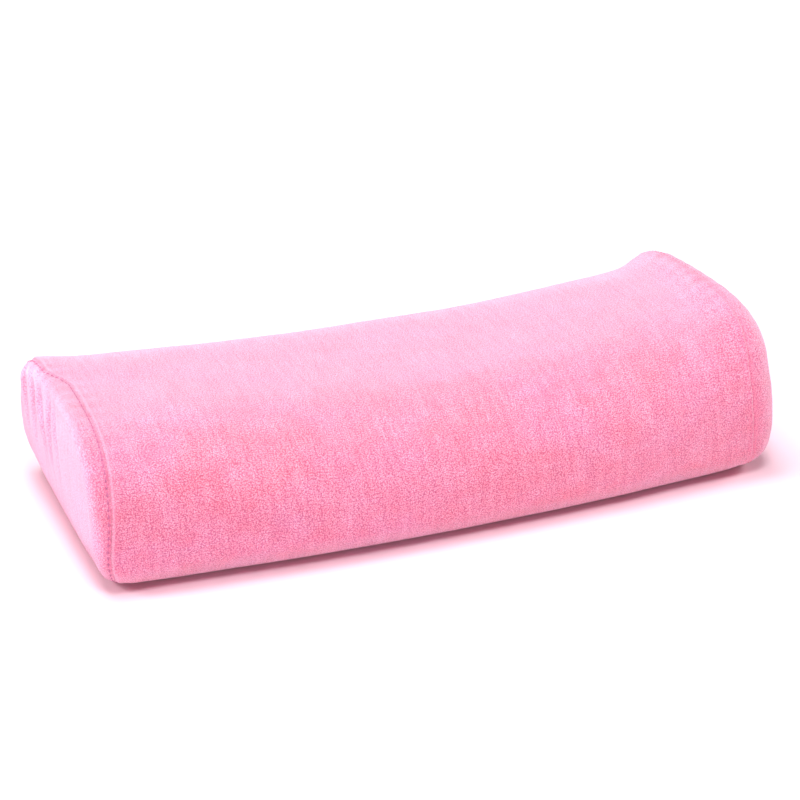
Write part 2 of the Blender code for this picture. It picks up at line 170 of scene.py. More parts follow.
# Swelling of the filled cover: how far it starts inside its shape, and how far a point may move
SETTLE_START = 0.0011
SETTLE_CAP = 0.0018
SEAM_HOLD = 0.010
SETTLE_SMOOTHING = 3
SETTLE_FRAMES = 20
SETTLE_PRESSURE = 4.0
SETTLE_QUALITY = 6
SETTLE_MASS = 0.25
SETTLE_STIFFNESS = 12.0
SETTLE_BENDING = 0.5
BASE_HELD_BELOW = 0.0015
SWELL_ABOVE = 0.007

# Sewing thread, as a radius, and its stitches
STITCH_PITCH = 0.0029
STITCH_LENGTH = 0.0021
STITCH_SINK = 0.0006
STITCH_RISE = 0.7
STITCH_POINTS = 7
THREAD = 0.00022
TUBE_SIDES = 6
SEAM_STITCH_REACH = 0.0012
HEM_STITCH_Y = FOLD_CENTRE + 0.006
HEM_STITCH_STOP = 0.003
HEM_LINE_POINTS = 50

# Wire of the zip's coil
COIL_WIRE = 0.00025
COIL_PITCH = 0.0011
COIL_POINTS = 10

# Camera, worked out from the photograph's outline of the cushion
CAMERA_AZIMUTH = -20.22
CAMERA_ELEVATION = 24.66
CAMERA_ROLL = -1.17
CAMERA_DISTANCE = 1.0079
CAMERA_TARGET = Vector((0.0, 0.0, 0.030))
IMAGE_SIZE = 800
FOCAL_PIXELS = 2380.18
CENTRE_PIXEL = (399.19, 404.92)
SENSOR = 36.0
NEAREST = 0.05
FARTHEST = 20.0

# Lamps: name, place, diameter and power; then the strength of the faint even light
LAMP_TARGET = (0.0, 0.0, 0.03)
LAMPS = (
    ("key", (-0.22, 0.30, 1.62), 1.0, 22.0),
    ("left", (-1.25, 0.30, 0.86), 0.6, 12.5),
    ("right", (1.4, -0.05, 0.86), 0.5, 9.5),
    ("front", (-0.08, -0.66, 1.60), 0.6, 15.0),
    ("low", (-0.20, -1.60, 0.18), 0.32, 9.5),
)
AMBIENT = 0.03
WHITE = (1.0, 1.0, 1.0)

# Floor; its pale pink is painted pink bounce light in the cushion's shadow, and what the camera sees of
# it grows whiter with the distance from the cushion
FLOOR_DROP = 0.0002
FLOOR_HALF = 6.0
FLOOR_BOUNCE_PINK = (0.97, 0.74, 0.82)
FLOOR_GLOW_START = 0.20
FLOOR_GLOW_FULL = 1.40


def soft_noise(points, size, seed):
    """Smooth noise from -1 to 1 whose lumps are about size across."""
    values = np.random.default_rng(seed).uniform(-1, 1, NOISE_TABLE)
    place = points / size
    cell = np.floor(place).astype(np.int64)
    part = place - cell
    part = part * part * (3 - 2 * part)
    total = np.zeros(points.shape[:-1])
    for corner in itertools.product((0, 1), repeat=3):
        mixed = np.bitwise_xor.reduce((cell + corner) * NOISE_PRIMES, axis=-1)
        weight = np.prod(np.where(corner, part, 1 - part), axis=-1)
        total += weight * values[mixed % NOISE_TABLE]
    return total


def rows_of(*columns):
    """Rows of the numbers in the columns; a short column is repeated to fit the others."""
    return np.stack(np.broadcast_arrays(*columns), axis=-1)


def smooth_step(low, high, value):
    """0 below low, 1 above high and an S curve between them."""
    part = np.clip((value - low) / (high - low), 0, 1)
    return part * part * (3 - 2 * part)


def bell(value, width):
    """1 at zero, falling off on both sides over the width."""
    return np.exp(-((value / width) ** 2))


def quarter_round(height, round_height):
    """1 at the base, falling to 0 at round_height along a quarter ellipse."""
    below = np.clip(1 - height / round_height, 0, 1)
    return 1 - np.sqrt(1 - below * below)


def half_width(s):
    """Half the width at s, which is -1 and 1 where the ends begin to round off."""
    return END_WIDTH / 2 + SIDE_BULGE * (1 - s * s)


def crown_height(s):
    """Height of the crown line at s: a shallow saddle with a raised rim at each end."""
    rise, rise_length = RIM_RISES[1 if s > 0 else -1]
    from_end = LENGTH / 2 * (1 - abs(s))
    return END_HEIGHT - CROWN_SAG * (1 - s * s) + rise * math.exp(-((from_end / rise_length) ** 2))


def crown_curve(half, top):
    """Points and inward directions from the wall's top to the crown line, evenly spaced."""
    angle = np.linspace(0, math.pi / 2, CURVE_SAMPLES)
    y = half * np.cos(angle).clip(0) ** (2 / CROWN_SIDE_POWER)
    z = WALL_TOP + (top - WALL_TOP) * np.sin(angle) ** (2 / CROWN_TOP_POWER)
    run = np.concatenate([[0], np.cumsum(np.hypot(np.diff(y), np.diff(z)))])
    even = np.linspace(0, run[-1], CROWN_STEPS + 1)[1:]
    step = run[-1] / CURVE_SAMPLES
    ahead = np.minimum(even + step, run[-1])
    behind = even - step
    dy = np.interp(ahead, run, y) - np.interp(behind, run, y)
    dz = np.interp(ahead, run, z) - np.interp(behind, run, z)
    dy[-1], dz[-1] = -1, 0
    size = np.hypot(dy, dz)
    return rows_of(np.interp(even, run, y), np.interp(even, run, z), -dz / size, dy / size)


def half_section(s):
    """The rear half of the cross-section at s: y, z and the direction in which the end draws it in."""
    half = half_width(s)
    corner = half - BASE_ROUND_WIDTH
    share = np.arange(BASE_STEPS) / BASE_STEPS
    base = rows_of(FOLD_CENTRE + (corner - FOLD_CENTRE) * share, 0.0, -share, 0.0)
    turn = np.linspace(0, math.pi / 2, ROUND_STEPS + 1)
    y = corner + BASE_ROUND_WIDTH * np.sin(turn)
    z = BASE_ROUND_HEIGHT * (1 - np.cos(turn))
    edge = rows_of(y, z, -1.0, 0.0)
    z = np.linspace(BASE_ROUND_HEIGHT, WALL_TOP, WALL_STEPS + 1)[1:]
    wall = rows_of(half, z, -1.0, 0.0)
    return np.vstack([base, edge, wall, crown_curve(half, crown_height(s))])


def section(s):
    """The whole cross-section: front slit edge, front, crown, rear, rear slit edge, zip strip."""
    rear = half_section(s)
    front = rear * np.array([-1, 1, -1, 1])
    strip = np.linspace(FOLD_CENTRE, -FOLD_CENTRE, MIDDLE_STEPS + 1)[1:-1]
    return np.vstack([front, rear[-2::-1], rows_of(strip, 0.0, 0.0, 0.0)])


SECTIONS = np.array([section(s) for s in np.linspace(-1, 1, SECTION_SAMPLES)])
COLUMNS = SECTIONS.shape[1]
COVER_COLUMNS = COLUMNS - (MIDDLE_STEPS - 1)


def section_at(s):
    """Rows of the cross-section for s given per column, read between the sampled sections."""
    place = (np.clip(s, -1, 1) + 1) / 2 * (SECTION_SAMPLES - 1)
    below = np.minimum(place.astype(int), SECTION_SAMPLES - 2)
    part = (place - below)[..., None]
    column = np.arange(COLUMNS)
    return SECTIONS[below, column] * (1 - part) + SECTIONS[below + 1, column] * part


def end_shape(side):
    """For each column: the end's rounding radius, where it starts and how far out the seam lies."""
    y, height = SECTIONS[-1 if side > 0 else 0][:, :2].T
    share = height / height.max()
    at_base, at_top = END_ROUNDS[side]
    radius = at_base + (at_top - at_base) * share**2
    tuck = END_TUCK * quarter_round(height, END_TUCK_HEIGHT)
    inset = np.interp(height, SEAM_HEIGHTS, SEAM_INSETS[side])
    if side < 0:
        behind = smooth_step(LEFT_REAR_START, LEFT_REAR_END, y)
        inset = inset + (np.minimum(inset, LEFT_REAR_INSET) - inset) * behind
    return radius, FACE_RIM - radius - tuck, FACE_RIM - tuck - inset


def skin_rows(side, x):
    """Rings of surface points whose distance from the middle is x, given for each ring and column."""
    radius, straight, _ = end_shape(side)
    past = np.maximum(x - straight, 0)
    drawn_in = radius * (1 - np.sqrt(1 - np.minimum(past / radius, 1) ** 2))
    row = section_at(side * np.minimum(x / straight, 1))
    y = row[..., 0] + row[..., 2] * drawn_in
    z = row[..., 1] + row[..., 3] * drawn_in
    return rows_of(side * x, y, z)


def end_band(side):
    """Rings from the seam round the edge of the end face, and their distance from the seam."""
    radius, straight, seam = end_shape(side)
    level = np.maximum(straight - seam, 0)
    start = np.arcsin(np.clip((seam - straight) / radius, 0, 1))
    run = level + radius * (math.pi / 2 - start)
    share = np.linspace(0, 1, BAND_STEPS + 1) ** BAND_CROWDING
    reach = share[:, None] * run
    turned = straight + radius * np.sin(np.minimum(start + (reach - level) / radius, math.pi / 2))
    on_base = SECTIONS[-1 if side > 0 else 0][:, 1] == 0
    reach = np.where(on_base, share[:, None] * (straight + radius - seam), reach)
    return skin_rows(side, np.where(on_base | (reach < level), seam + reach, turned)), reach


def end_cap(side, rim, reach):
    """Rings from the rim of the end face towards its puffed-out centre."""
    inward = (np.arange(1, CAP_STEPS + 1) / (CAP_STEPS + 1))[:, None]
    z = rim[:, 2] + (END_CENTRE_HEIGHT - rim[:, 2]) * inward
    y = rim[:, 1] * (1 - inward)
    x = FACE_RIM - END_TUCK * quarter_round(z, END_TUCK_HEIGHT) + END_PUFF * (1 - (1 - inward) ** 2)
    size = np.hypot(rim[:, 1], rim[:, 2] - END_CENTRE_HEIGHT)
    return rows_of(side * x, y, z), reach + size * inward


def body_band():
    """Rings between the two seams, and their distance from the nearer seam, below zero."""
    share = np.linspace(-1, 1, BODY_STEPS + 1)
    share = share + BODY_CROWDING * np.sin(math.pi * share)
    rings = []
    reach = []
    for value in share:
        side = 1 if value > 0 else -1
        seam = end_shape(side)[2]
        rings.append(skin_rows(side, abs(value) * seam))
        reach.append((abs(value) - 1) * seam)
    return np.array(rings), np.array(reach)


def run_along(points):
    """Distance from the first of a row of points to each of them."""
    return np.concatenate([[0], np.cumsum(np.linalg.norm(np.diff(points, axis=0), axis=1))])


def read_along(at, run, points):
    """The place at a distance along a row of points, or several places at several distances."""
    return np.stack([np.interp(at, run, column) for column in points.T], axis=-1)


def grid_normals(points):
    """Outward normals of rings of points; the rings close on themselves."""
    along = np.gradient(points, axis=0)
    across = np.roll(points, -1, axis=1) - np.roll(points, 1, axis=1)
    normals = np.cross(along, across)
    normals /= np.maximum(np.linalg.norm(normals, axis=-1, keepdims=True), 1e-12)
    middle = np.array([0, 0, END_CENTRE_HEIGHT])
    outward = np.sum(normals * (points - middle), axis=-1).sum()
    return normals if outward > 0 else -normals


def refined(table, closed):
    """Values at every fine step between the rows of a coarse table, on a smooth curve through them."""
    count = len(table) if closed else len(table) - 1
    place = np.arange(count * COARSE + (0 if closed else 1)) / COARSE
    first = place.astype(int)
    part = (place - first).reshape((-1,) + (1,) * (table.ndim - 1))

    def row(number):
        return table[number % len(table) if closed else np.clip(number, 0, len(table) - 1)]

    before, start, end, after = row(first - 1), row(first), row(first + 1), row(first + 2)
    bend = 2 * before - 5 * start + 4 * end - after
    twist = 3 * start - before - 3 * end + after
    return start + 0.5 * part * (end - before + part * (bend + part * twist))


def turn_out(data):
    """Make a mesh's faces point outwards."""
    mesh = bmesh.new()
    mesh.from_mesh(data)
    bmesh.ops.recalc_face_normals(mesh, faces=mesh.faces)
    mesh.to_mesh(data)
    mesh.free()


def new_object(name, data):
    item = bpy.data.objects.new(name, data)
    bpy.context.collection.objects.link(item)
    return item


def new_piece(name, data, material):
    """A smooth closed piece of the cushion."""
    turn_out(data)
    data.shade_smooth()
    data.materials.append(material)
    return new_object(name, data)


def filled_cover(points, normals, reach, seams):
    """Swell the cover under its filling's pressure and return how far each coarse point moved."""
    rows, columns = points.shape[:2]
    inset = SETTLE_START * smooth_step(BASE_HELD_BELOW, SWELL_ABOVE, points[..., 2])
    inset = inset * (1 - bell(reach, SEAM_HOLD))
    start = points - normals * inset[..., None]
    tips = [start[0].mean(axis=0), start[-1].mean(axis=0)]
    index = np.arange(rows * columns).reshape(rows, columns)
    after = np.roll(index, -1, axis=1)
    faces = np.stack([index[:-1], after[:-1], after[1:], index[1:]], axis=-1).reshape(-1, 4).tolist()
    for ring, tip in ((0, rows * columns), (-1, rows * columns + 1)):
        faces.extend([a, b, tip] for a, b in zip(index[ring].tolist(), after[ring].tolist()))
    data = bpy.data.meshes.new("filled")
    data.from_pydata(start.reshape(-1, 3).tolist() + [list(tip) for tip in tips], [], faces)
    turn_out(data)
    item = new_object("filled", data)
    held = item.vertex_groups.new(name="held")
    held.add(index[start[..., 2] < BASE_HELD_BELOW].tolist(), 1.0, "REPLACE")
    held.add(index[seams].ravel().tolist(), 1.0, "REPLACE")
    cloth = item.modifiers.new("cloth", "CLOTH")
    cloth.settings.quality = SETTLE_QUALITY
    cloth.settings.mass = SETTLE_MASS
    cloth.settings.tension_stiffness = SETTLE_STIFFNESS
    cloth.settings.compression_stiffness = SETTLE_STIFFNESS
    cloth.settings.bending_stiffness = SETTLE_BENDING
    cloth.settings.use_pressure = True
    cloth.settings.uniform_pressure_force = SETTLE_PRESSURE
    cloth.settings.vertex_group_mass = "held"
    cloth.settings.effector_weights.gravity = 0.0
    cloth.point_cache.frame_start = 1
    cloth.point_cache.frame_end = SETTLE_FRAMES
    scene = bpy.context.scene
    for number in range(1, SETTLE_FRAMES + 1):
        scene.frame_set(number)
    settled = item.evaluated_get(bpy.context.evaluated_depsgraph_get()).data
    places = np.zeros(len(settled.vertices) * 3)
    settled.vertices.foreach_get("co", places)
    moved = places.reshape(-1, 3)[: rows * columns].reshape(rows, columns, 3) - start
    bpy.data.objects.remove(item, do_unlink=True)
    bpy.data.meshes.remove(data)
    scene.frame_set(1)
    size = np.linalg.norm(moved, axis=-1, keepdims=True)
    moved = moved * np.minimum(1, SETTLE_CAP / np.maximum(size, 1e-9))
    for _ in range(SETTLE_SMOOTHING):
        ends = np.concatenate([moved[:1], moved, moved[-1:]])
        moved = 0.5 * moved + 0.25 * (ends[:-2] + ends[2:])
        moved = 0.5 * moved + 0.25 * (np.roll(moved, 1, axis=1) + np.roll(moved, -1, axis=1))
    return moved + start - points


class Skin:
    """The whole closed skin as rings from the left end face to the right one."""

    def __init__(self):
        parts = []
        reaches = []
        for side in (-1, 1):
            band, band_reach = end_band(side)
            cap, cap_reach = end_cap(side, band[-1], band_reach[-1])
            points = np.concatenate([band, cap])
            reach = np.concatenate([band_reach, cap_reach])
            parts.append(points if side > 0 else points[::-1])
            reaches.append(reach if side > 0 else reach[::-1])
        body, body_reach = body_band()
        self.points = np.concatenate([parts[0], body[1:-1], parts[1]])
        self.reach = np.concatenate([reaches[0], body_reach[1:-1], reaches[1]])
        self.normals = grid_normals(self.points)
        self.first = BAND_STEPS + CAP_STEPS
        self.last = len(self.points) - self.first
        run = run_along(self.points[len(self.points) // 2])
        self.arc = run - run[COVER_COLUMNS // 2]
        self.lining = self.points - self.normals * CLOTH

    def end_part(self, side):
        """The rings of one end, from its seam to the middle of its face."""
        return slice(self.first, None, -1) if side < 0 else slice(self.last - 1, None)

    def rested(self):
        """The skin's points with the cloth's soft relief, corner lift, folds and seams."""
        points = self.points
        normals = self.normals
        swell = 0.0
        seams = [self.first // COARSE, (self.last - 1) // COARSE]
        moves = filled_cover(points[THIN], normals[THIN], self.reach[THIN], seams)
        swell = refined(refined(moves, closed=False).swapaxes(0, 1), closed=True).swapaxes(0, 1)
        depth = sum(height * soft_noise(points, size, seed) for size, height, seed in LUMPS + PILE)
        depth = depth + seam_relief(self.reach, self.arc, points)
        depth = depth + end_folds(points) + corner_puffs(points)
        depth = depth * smooth_step(0.0, RELIEF_CLEAR_HEIGHT, points[..., 2])
        moved = points + swell + normals * depth[..., None]
        moved[..., 2] += corner_lift(points)
        return moved


def seam_relief(reach, arc, points):
    """The sunk valley along each seam, the seam's groove, the rolled edge beside it and the puckers."""
    deep = np.where(points[..., 0] < 0, VALLEY_DEPTHS[-1], VALLEY_DEPTHS[1])
    valley = -deep * bell(reach, VALLEY_WIDTH)
    groove = -GROOVE_DEPTH * bell(reach, GROOVE_WIDTH)
    ridge = RIDGE_HEIGHT * bell(reach - RIDGE_PLACE, RIDGE_WIDTH)
    size, wander, seed = PUCKER_WANDER
    wave = np.sin(2 * math.pi * arc / PUCKER_PITCH + wander * soft_noise(points, size, seed))
    size, change, seed = PUCKER_CHANGE
    strength = 1 - change + change * soft_noise(points, size, seed)
    pucker = PUCKER_DEPTH * wave * strength * bell(reach, PUCKER_REACH)
    return valley + groove + ridge + pucker


def end_folds(points):
    """Loose upright folds in the end panels."""
    x, y, z = points[..., 0], points[..., 1], points[..., 2]
    on_face = smooth_step(FACE_RIM - FOLD_RIM_START, FACE_RIM - FOLD_RIM_FULL, np.abs(x))
    window = smooth_step(FOLD_BOTTOM - FOLD_FADE, FOLD_BOTTOM + FOLD_FADE, z)
    window = window * (1 - smooth_step(FOLD_TOP - FOLD_TOP_FADE, FOLD_TOP + FOLD_TOP_FADE, z))
    total = np.zeros(x.shape)
    for side, start, lean, deep, width in FOLDS:
        sway = FOLD_SWAY * np.sin(z / FOLD_SWAY_LENGTH + start * FOLD_SWAY_TURN)
        off = y - (start + lean * (FOLD_START - z) + sway)
        bank = BANK_SHARE * deep * bell(off - BANK_PLACE * width, BANK_WIDTH * width)
        crease = bank - deep * bell(off, width)
        total += np.where(np.sign(x) == side, crease, 0)
    return total * on_face * window


def corner_puffs(points):
    """Extra fullness of the left end towards its rear and of the right end towards its front."""
    x, y, z = points[..., 0], points[..., 1], points[..., 2]
    total = np.zeros(x.shape)
    for side, height, along, aside, up in PUFFS:
        total += height * smooth_step(*along, side * x) * smooth_step(*aside, y) * smooth_step(*up, z)
    return total


def corner_lift(points):
    """How far the base's four corners curl up from the table."""
    x, y, z = points[..., 0], points[..., 1], points[..., 2]
    along = np.clip((np.abs(x) - LIFT_START) / (LENGTH / 2 - LIFT_START), 0, 1) ** LIFT_POWER
    aside = smooth_step(LIFT_CLEAR_OF_ZIP, 2 * LIFT_CLEAR_OF_ZIP, np.abs(y))
    lift = np.where(x < 0, CORNER_LIFTS[-1], CORNER_LIFTS[1])
    return lift * along * aside * np.clip(1 - z / END_HEIGHT, 0, 1)


class Cloth:
    """Vertices, faces and cloth coordinates of one sewn piece, gathered as grids of points."""

    def __init__(self):
        self.points = []
        self.faces = []
        self.flat = []
        self.seam = []

    def grid(self, points, flat, seam):
        """Add a grid of vertices and return their numbers in the same layout."""
        start = len(self.points)
        self.points.extend(points.reshape(-1, 3).tolist())
        self.flat.extend(flat.reshape(-1, 2).tolist())
        self.seam.extend(seam.reshape(-1, 2).tolist())
        return start + np.arange(points.shape[0] * points.shape[1]).reshape(points.shape[:2])

    def cover_grid(self, index, closed):
        """Faces between neighbouring rows and columns of vertex numbers."""
        if closed:
            index = np.concatenate([index, index[:, :1]], axis=1)
        quads = np.stack([index[:-1, :-1], index[:-1, 1:], index[1:, 1:], index[1:, :-1]], axis=-1)
        self.faces.extend(quads.reshape(-1, 4).tolist())

    def join_edge(self, fine, coarse):
        """Close the rim between a fine row of vertices and a coarse one."""
        for number, (start, end) in enumerate(zip(coarse, coarse[1:])):
            first = number * COARSE
            middle = first + COARSE // 2
            for step in range(first, first + COARSE):
                corner = start if step < middle else end
                self.faces.append([fine[step], fine[step + 1], corner])
            self.faces.append([fine[middle], end, start])

    def fan(self, ring, point, flat, seam):
        """Close a ring of vertices with triangles to one more point."""
        tip = len(self.points)
        self.points.append(list(point))
        self.flat.append(list(flat))
        self.seam.append(list(seam))
        for column in range(len(ring)):
            self.faces.append([ring[column], ring[(column + 1) % len(ring)], tip])

    def layers(self, outer, inner, flat, seam, closed):
        """The fine outside and the coarse inside of the cloth."""
        fine = self.grid(outer, flat, seam)
        coarse = self.grid(inner[THIN], flat[THIN], seam[THIN])
        self.cover_grid(fine, closed)
        self.cover_grid(coarse, closed)
        return fine, coarse

    def build(self, name, material):
        """Make the object, with its faces pointing out."""
        data = bpy.data.meshes.new(name)
        data.from_pydata(self.points, [], self.faces)
        loops = np.zeros(len(data.loops), dtype=np.int32)
        data.loops.foreach_get("vertex_index", loops)
        for layer_name, values in (("cloth", self.flat), ("seam", self.seam)):
            layer = data.uv_layers.new(name=layer_name)
            layer.uv.foreach_set("vector", np.array(values, dtype=np.float32)[loops].ravel())
        return new_piece(name, data, material)


def hem_path(side, depth):
    """The folded hem beside the slit, from its free edge to where it meets the flat base."""
    radius = FOLD_RADIUS - depth
    level = [FOLD_CENTRE + HEM_WIDTH * (1 - step / HEM_FLAT_STEPS) for step in range(HEM_FLAT_STEPS)]
    path = [(y, HEM_HEIGHT - depth) for y in level]
    for step in range(HEM_ARC_STEPS):
        turn = math.pi * step / HEM_ARC_STEPS
        path.append((FOLD_CENTRE - radius * math.sin(turn), FOLD_RADIUS + radius * math.cos(turn)))
    return np.array([(side * y, z) for y, z in path])


def with_hems(rings, depth):
    """Rings of the wrapped sheet with a hem added along both edges of the slit."""
    cloth = rings[:, :COVER_COLUMNS]
    hems = []
    for side, edge in ((-1, 0), (1, -1)):
        y, z = hem_path(side, depth).T
        hems.append(rows_of(cloth[:, edge, :1], y, z))
    return np.concatenate([hems[0], cloth, hems[1][:, ::-1]], axis=1)


def extended_arc(arc):
    """Distance along the sheet from the crown line, hems included."""
    step = np.linalg.norm(np.diff(hem_path(-1, 0.0), axis=0), axis=1)
    run = np.concatenate([[0], np.cumsum(step)])
    run = run - run[-1] - step[-1]
    last = arc[COVER_COLUMNS - 1]
    return np.concatenate([arc[0] + run, arc[:COVER_COLUMNS], last - run[::-1]])


def make_cover(skin, rested, material):
    """The towelling sheet from hem to hem, round the front, the crown and the rear."""
    part = slice(skin.first, skin.last)
    cloth = Cloth()
    arc = extended_arc(skin.arc)
    x_rest = with_hems(skin.points[part], 0.0)[..., 0]
    reach = skin.reach[part][:, :COVER_COLUMNS]
    hems = HEM_FLAT_STEPS + HEM_ARC_STEPS
    reach = np.pad(reach, ((0, 0), (hems, hems)), mode="edge")
    flat = rows_of(x_rest, arc)
    seam = rows_of(reach, arc)
    outer = with_hems(opened(rested[part]), 0.0)
    inner = with_hems(opened(skin.lining[part]), CLOTH)
    fine, coarse = cloth.layers(outer, inner, flat, seam, closed=False)
    for edge in (0, -1):
        cloth.join_edge(fine[edge], coarse[edge])
        cloth.join_edge(fine[:, edge], coarse[:, edge])
    return cloth.build("cover", material)


def opened(rings):
    """Leave the seam's small gap at both ends of the sheet."""
    moved = rings.copy()
    moved[0, :, 0] += SEAM_GAP / 2
    moved[-1, :, 0] -= SEAM_GAP / 2
    return moved


def make_end_panel(name, side, skin, rested, material):
    """A panel drawn over the foam's end and round its edge as far as the seam."""
    part = skin.end_part(side)
    outer = rested[part].copy()
    inner = skin.lining[part].copy()
    reach = skin.reach[part]
    for rings in (outer, inner):
        rings[0, :, 0] += side * SEAM_GAP / 2
    rim = skin.points[part][BAND_STEPS]
    across = rows_of(rim[:, 1], rim[:, 2] - END_CENTRE_HEIGHT)
    size = np.linalg.norm(across, axis=-1, keepdims=True)
    total = reach[BAND_STEPS] + size[:, 0]
    flat = across / size * (total - reach)[..., None]
    seam = rows_of(reach, skin.arc)
    cloth = Cloth()
    fine, coarse = cloth.layers(outer, inner, flat, seam, closed=True)
    for rings, layer in ((fine, outer), (coarse, inner)):
        cloth.fan(rings[-1], layer[-1].mean(axis=0), (0.0, 0.0), (total.mean(), 0.0))
    cloth.join_edge(np.append(fine[0], fine[0][0]), np.append(coarse[0], coarse[0][0]))
    return cloth.build(name, material)


class Nodes:
    """Short calls for building the nodes of a material or of the world."""

    def __init__(self, owner):
        self.owner = owner
        owner.use_nodes = True
        self.tree = owner.node_tree

    def link(self, value, socket):
        """Connect an output, or write a number or a colour, to an input."""
        if isinstance(value, bpy.types.NodeSocket):
            self.tree.links.new(value, socket)
        elif isinstance(value, tuple) and len(socket.default_value) == 4:
            socket.default_value = (*value[:3], 1.0)
        else:
            socket.default_value = value

    def node(self, kind, inputs=(), **settings):
        made = self.tree.nodes.new(kind)
        for key, value in settings.items():
            setattr(made, key, value)
        for key, value in dict(inputs).items():
            self.link(value, made.inputs[key])
        return made

    def parts(self, vector):
        return self.node("ShaderNodeSeparateXYZ", {0: vector}).outputs

    def uv(self, layer):
        return self.node("ShaderNodeUVMap", uv_map=layer).outputs["UV"]

    def place(self):
        return self.node("ShaderNodeTexCoord").outputs["Object"]

    def facing(self):
        return self.node("ShaderNodeTexCoord").outputs["Normal"]

    def scaled(self, vector, scale):
        return self.node("ShaderNodeMapping", {"Vector": vector, "Scale": scale}).outputs["Vector"]

    def vector(self, operation, inputs):
        return self.node("ShaderNodeVectorMath", inputs, operation=operation).outputs[0]

    def math(self, operation, *values):
        made = self.node("ShaderNodeMath", operation=operation)
        for number, value in enumerate(values):
            self.link(value, made.inputs[number])
        return made.outputs[0]

    def times(self, first, second, plus=0.0):
        return self.math("MULTIPLY_ADD", first, second, plus)

    def noise(self, vector, scale, detail=2.0, roughness=0.5):
        """Soft noise, mostly between 0.3 and 0.7."""
        inputs = {"Vector": vector, "Scale": scale, "Detail": detail, "Roughness": roughness}
        return self.node("ShaderNodeTexNoise", inputs).outputs["Fac"]

    def ramp(self, value, low, high):
        """Spread the span from low to high over 0 to 1."""
        made = self.node("ShaderNodeMapRange", {"Value": value, "From Min": low, "From Max": high})
        return made.outputs["Result"]

    def blend(self, share, first, second, mode="MIX"):
        made = self.node("ShaderNodeMix", data_type="RGBA", blend_type=mode)
        self.link(share, made.inputs[0])
        self.link(first, made.inputs[6])
        self.link(second, made.inputs[7])
        return made.outputs[2]

    def bump(self, height, distance, strength):
        inputs = {"Height": height, "Distance": distance, "Strength": strength}
        return self.node("ShaderNodeBump", inputs).outputs["Normal"]

    def finish(self, **values):
        """Fill in the shader's inputs, with underscores for spaces, and return the material."""
        shader = self.tree.nodes["Principled BSDF"]
        for key, value in values.items():
            self.link(value, shader.inputs[key.replace("_", " ")])
        return self.owner


def new_material(name):
    return Nodes(bpy.data.materials.new(name))


# Colours, as linear values
# Loop colours, with painted shade in the pits and a painted highlight on the tips
PIT_SHADE_PINK = (0.56, 0.075, 0.190)
LOOP_PINK = (0.93, 0.300, 0.440)
TIP_HIGHLIGHT_PINK = (1.0, 0.60, 0.76)
COOL_PINK = (0.90, 0.33, 0.58)
WARM_PINK = (0.95, 0.25, 0.345)
# Painted light: paler copies of the pit, loop and tip colours
PAINTED_LIT_PIT = (0.74, 0.29, 0.51)
PAINTED_LIT_LOOP = (0.94, 0.56, 0.79)
PAINTED_LIT_TIP = (1.0, 0.78, 0.94)
# Painted shade in the needle holes
HOLE_SHADE_PINK = (0.50, 0.11, 0.25)
# Painted shade in the seam's valley
SEAM_SHADE_PINK = (0.88, 0.20, 0.36)
# Painted highlight on the seam's rolled edge
RIDGE_HIGHLIGHT_PINK = (0.98, 0.58, 0.76)
# Painted shade on the left seam's thread
THREAD_SHADE_PINK = (0.54, 0.13, 0.29)
FOAM_CREAM = (0.90, 0.86, 0.74)
FOAM_SHADE = (0.70, 0.64, 0.50)
TAPE_DARK = (0.62, 0.20, 0.33)
TAPE_LIGHT = (0.92, 0.46, 0.60)
NYLON_DARK = (0.84, 0.38, 0.52)
NYLON_LIGHT = (0.93, 0.52, 0.65)
LACQUER_PINK = (0.82, 0.36, 0.50)
LACQUER_WORN = (0.86, 0.66, 0.70)

# Loops of the towelling, in wales along the cushion and courses round it
WALE = 0.00084
COURSE = 0.00076
LOOP_SPREAD = 0.90
WALE_WANDER = 0.0011
WANDER_SCALE = 300.0
CLUMP_SCALE = 2000.0
SPECK_SCALE = 2100.0
FIBRE_SCALE = 4200.0
STREAK_SCALE = 420.0
PATCH_SCALE = 34.0
MOTTLE_SCALE = 130.0
PILE_BUMP = 0.0006
PILE_DEPTH = 0.8
STREAK_STRETCH = (1.0, 0.12, 1.0)
PATCH_STRETCH = (0.6, 1.0, 1.0)
PIT_TO_LOOP = (0.30, 0.48)
LOOP_TO_TIP = (0.54, 0.76)
PATCH_SHARE = 0.30
MOTTLE_DEPTH = 0.26
MOTTLE_DARKEST = 0.87
MOTTLE_RED = 0.98
SPECK_SPAN = (0.42, 0.33)
SPECK_MOST = 0.85
SPECK_LOST_IN_PAINTED_LIGHT = 0.55

# How much of the pile's height comes from loops, clumps, single fibres and streaks
LOOP_SHARE = 0.34
CLUMP_SHARE = 0.36
FIBRE_SHARE = 0.18
STREAK_SHARE = 0.12

# Painted light: the cloth is painted paler where it faces up or back, and on the end faces, as if lit
# there
PAINTED_LIGHT_FRONT = -0.75
PAINTED_LIGHT_REAR = 0.20
PAINTED_LIGHT_BELOW = -0.10
PAINTED_LIGHT_ABOVE = 0.50
PAINTED_LIGHT_CURVE = 2.6
CROWN_PAINTED_LIGHT_SHARE = 0.88
FACE_PAINTED_LIGHT_SHARE = 0.52
FACE_MASK_START = FACE_RIM - 0.004
FACE_MASK_FULL = FACE_RIM - 0.0005
FACE_LIGHT_REAR = 0.068
FACE_LIGHT_FRONT = 0.042
FACE_LIGHT_LEAST = 0.4
FACE_SMOOTHING = 0.55

# Painted shade in each seam's valley, a painted highlight on its rolled edge and painted shade in its
# needle holes: how far the valley's shade reaches and how strong each is
SEAM_SHADE_REACH = 0.0032
SEAM_SHADE_SHARE = 0.35
RIDGE_HIGHLIGHT_SHARE = 0.42
HOLE_SHADE_SHARE = 0.8

# Where, on the way from the middle to the left end, the left seam's painted highlight, painted
# needle-hole shade and painted thread shade are full
LEFT_SIDE = -0.10

# Weave of the zip tape
RIB_PITCH = 0.0007
RIB_STRIPE = 0.0012


